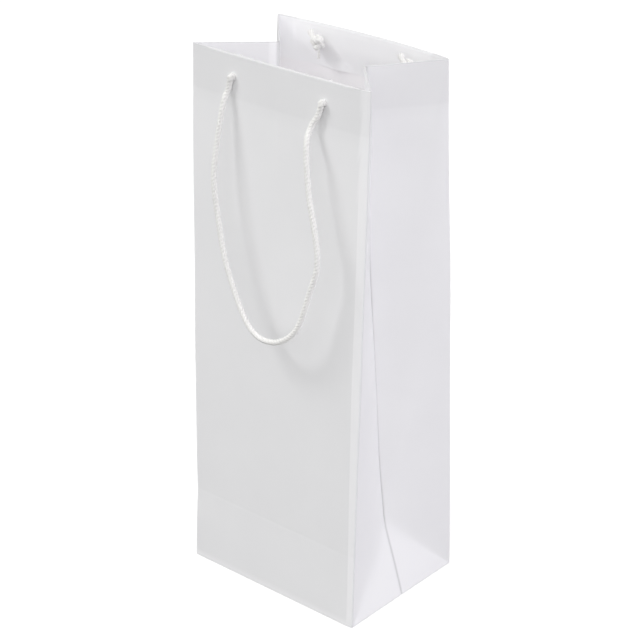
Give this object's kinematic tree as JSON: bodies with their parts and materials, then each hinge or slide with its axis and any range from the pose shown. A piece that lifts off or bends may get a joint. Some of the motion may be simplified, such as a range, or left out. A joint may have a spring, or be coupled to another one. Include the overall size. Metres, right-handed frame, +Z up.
{
  "type": "wine gift bag",
  "caption": "Tall narrow paper gift bag for one bottle, with tucked side gussets, a reinforced turned-in top edge and two knotted cord handles.",
  "frame": {"origin": "centre of the base, on the surface that the bag stands on", "axes": "+Z up, front face towards -Y, bag width along X"},
  "size_m": [0.1266, 0.1192, 0.3298],
  "materials": {
    "laminated_paper": "white satin laminate outside, uncoated white inside",
    "greyboard": "uncoated off-white card",
    "cord": "twisted white cord"
  },
  "bodies": {
    "base": {"base_front_flap": "laminated_paper", "base_back_flap": "laminated_paper", "base_left_tuck": "laminated_paper", "base_right_tuck": "laminated_paper", "base_board": "greyboard"},
    "front": {"front_panel": "laminated_paper", "front_top_board": "greyboard", "front_left_knot": "cord", "front_right_knot": "cord"},
    "back": {"back_panel": "laminated_paper", "back_top_board": "greyboard", "seam_glue_flap": "laminated_paper", "back_left_knot": "cord", "back_right_knot": "cord"},
    "left_base_triangle": {"left_base_triangle": "laminated_paper"},
    "left_gusset_front_lower": {"left_gusset_front_lower": "laminated_paper"},
    "left_gusset_front_upper": {"left_gusset_front_upper": "laminated_paper"},
    "left_gusset_rear_lower": {"left_gusset_rear_lower": "laminated_paper"},
    "left_gusset_rear_upper": {"left_gusset_rear_upper": "laminated_paper"},
    "right_base_triangle": {"right_base_triangle": "laminated_paper"},
    "right_gusset_front_lower": {"right_gusset_front_lower": "laminated_paper"},
    "right_gusset_front_upper": {"right_gusset_front_upper": "laminated_paper"},
    "right_gusset_rear_lower": {"right_gusset_rear_lower": "laminated_paper"},
    "right_gusset_rear_upper": {"right_gusset_rear_upper": "laminated_paper"},
    "front_handle": {"front_handle_cord": "cord"},
    "back_handle": {"back_handle_cord": "cord"}
  },
  "joints": [
    {"name": "mouth_pinch", "type": "hinge", "parent": "base", "child": "front", "pos_m": [0, -0.0475, 0], "axis": [-1, 0, 0], "range_deg": [-0.5, 2.2]},
    {"name": "back_lean", "type": "hinge", "parent": "base", "child": "back", "pos_m": [0, 0.0475, 0], "axis": [1, 0, 0], "range_deg": [-0.52, 2.22]},
    {"name": "left_base_triangle_lean", "type": "hinge", "parent": "base", "child": "left_base_triangle", "pos_m": [-0.0635, 0, 0], "axis": [0, 1, 0], "range_deg": [-1.59, 6.91]},
    {"name": "left_gusset_front_corner_fold", "type": "hinge", "parent": "front", "child": "left_gusset_front_lower", "pos_m": [-0.0635, -0.0475, 0], "axis": [0, 0.0366, 0.9993], "range_deg": [-6.91, 1.59]},
    {"name": "left_gusset_front_diagonal_fold", "type": "hinge", "parent": "left_gusset_front_lower", "child": "left_gusset_front_upper", "pos_m": [-0.05087, 0, 0.04579], "axis": [-0.0441, -0.1236, 0.9914], "range_deg": [-13.62, 3.11]},
    {"name": "left_gusset_rear_corner_fold", "type": "hinge", "parent": "back", "child": "left_gusset_rear_lower", "pos_m": [-0.0635, 0.0475, 0], "axis": [0, -0.0366, 0.9993], "range_deg": [-1.59, 6.91]},
    {"name": "left_gusset_rear_diagonal_fold", "type": "hinge", "parent": "left_gusset_rear_lower", "child": "left_gusset_rear_upper", "pos_m": [-0.05087, 0, 0.04579], "axis": [-0.0441, 0.1236, 0.9914], "range_deg": [-3.11, 13.62]},
    {"name": "right_base_triangle_lean", "type": "hinge", "parent": "base", "child": "right_base_triangle", "pos_m": [0.0635, 0, 0], "axis": [0, -1, 0], "range_deg": [-1.59, 6.91]},
    {"name": "right_gusset_front_corner_fold", "type": "hinge", "parent": "front", "child": "right_gusset_front_lower", "pos_m": [0.0635, -0.0475, 0], "axis": [0, 0.0366, 0.9993], "range_deg": [-1.59, 6.91]},
    {"name": "right_gusset_front_diagonal_fold", "type": "hinge", "parent": "right_gusset_front_lower", "child": "right_gusset_front_upper", "pos_m": [0.05087, 0, 0.04579], "axis": [0.0441, -0.1236, 0.9914], "range_deg": [-3.11, 13.62]},
    {"name": "right_gusset_rear_corner_fold", "type": "hinge", "parent": "back", "child": "right_gusset_rear_lower", "pos_m": [0.0635, 0.0475, 0], "axis": [0, -0.0366, 0.9993], "range_deg": [-6.91, 1.59]},
    {"name": "right_gusset_rear_diagonal_fold", "type": "hinge", "parent": "right_gusset_rear_lower", "child": "right_gusset_rear_upper", "pos_m": [0.05087, 0, 0.04579], "axis": [0.0441, 0.1236, 0.9914], "range_deg": [-13.62, 3.11]},
    {"name": "front_handle_swing", "type": "hinge", "parent": "front", "child": "front_handle", "pos_m": [0, -0.0379, 0.31636], "axis": [-1, 0, 0], "range_deg": [-2, 170]},
    {"name": "back_handle_swing", "type": "hinge", "parent": "back", "child": "back_handle", "pos_m": [0, 0.0379, 0.31636], "axis": [1, 0, 0], "range_deg": [-2, 170]}
  ],
  "couplings": [
    {"joint": "back_lean", "follows": "mouth_pinch", "ratio": 1},
    {"joint": "left_base_triangle_lean", "follows": "mouth_pinch", "ratio": 3.1309},
    {"joint": "left_gusset_front_corner_fold", "follows": "mouth_pinch", "ratio": -3.1309},
    {"joint": "left_gusset_front_diagonal_fold", "follows": "mouth_pinch", "ratio": -6.183},
    {"joint": "left_gusset_rear_corner_fold", "follows": "mouth_pinch", "ratio": 3.1309},
    {"joint": "left_gusset_rear_diagonal_fold", "follows": "mouth_pinch", "ratio": 6.183},
    {"joint": "right_base_triangle_lean", "follows": "mouth_pinch", "ratio": 3.1309},
    {"joint": "right_gusset_front_corner_fold", "follows": "mouth_pinch", "ratio": 3.1309},
    {"joint": "right_gusset_front_diagonal_fold", "follows": "mouth_pinch", "ratio": 6.183},
    {"joint": "right_gusset_rear_corner_fold", "follows": "mouth_pinch", "ratio": -3.1309},
    {"joint": "right_gusset_rear_diagonal_fold", "follows": "mouth_pinch", "ratio": -6.183}
  ]
}
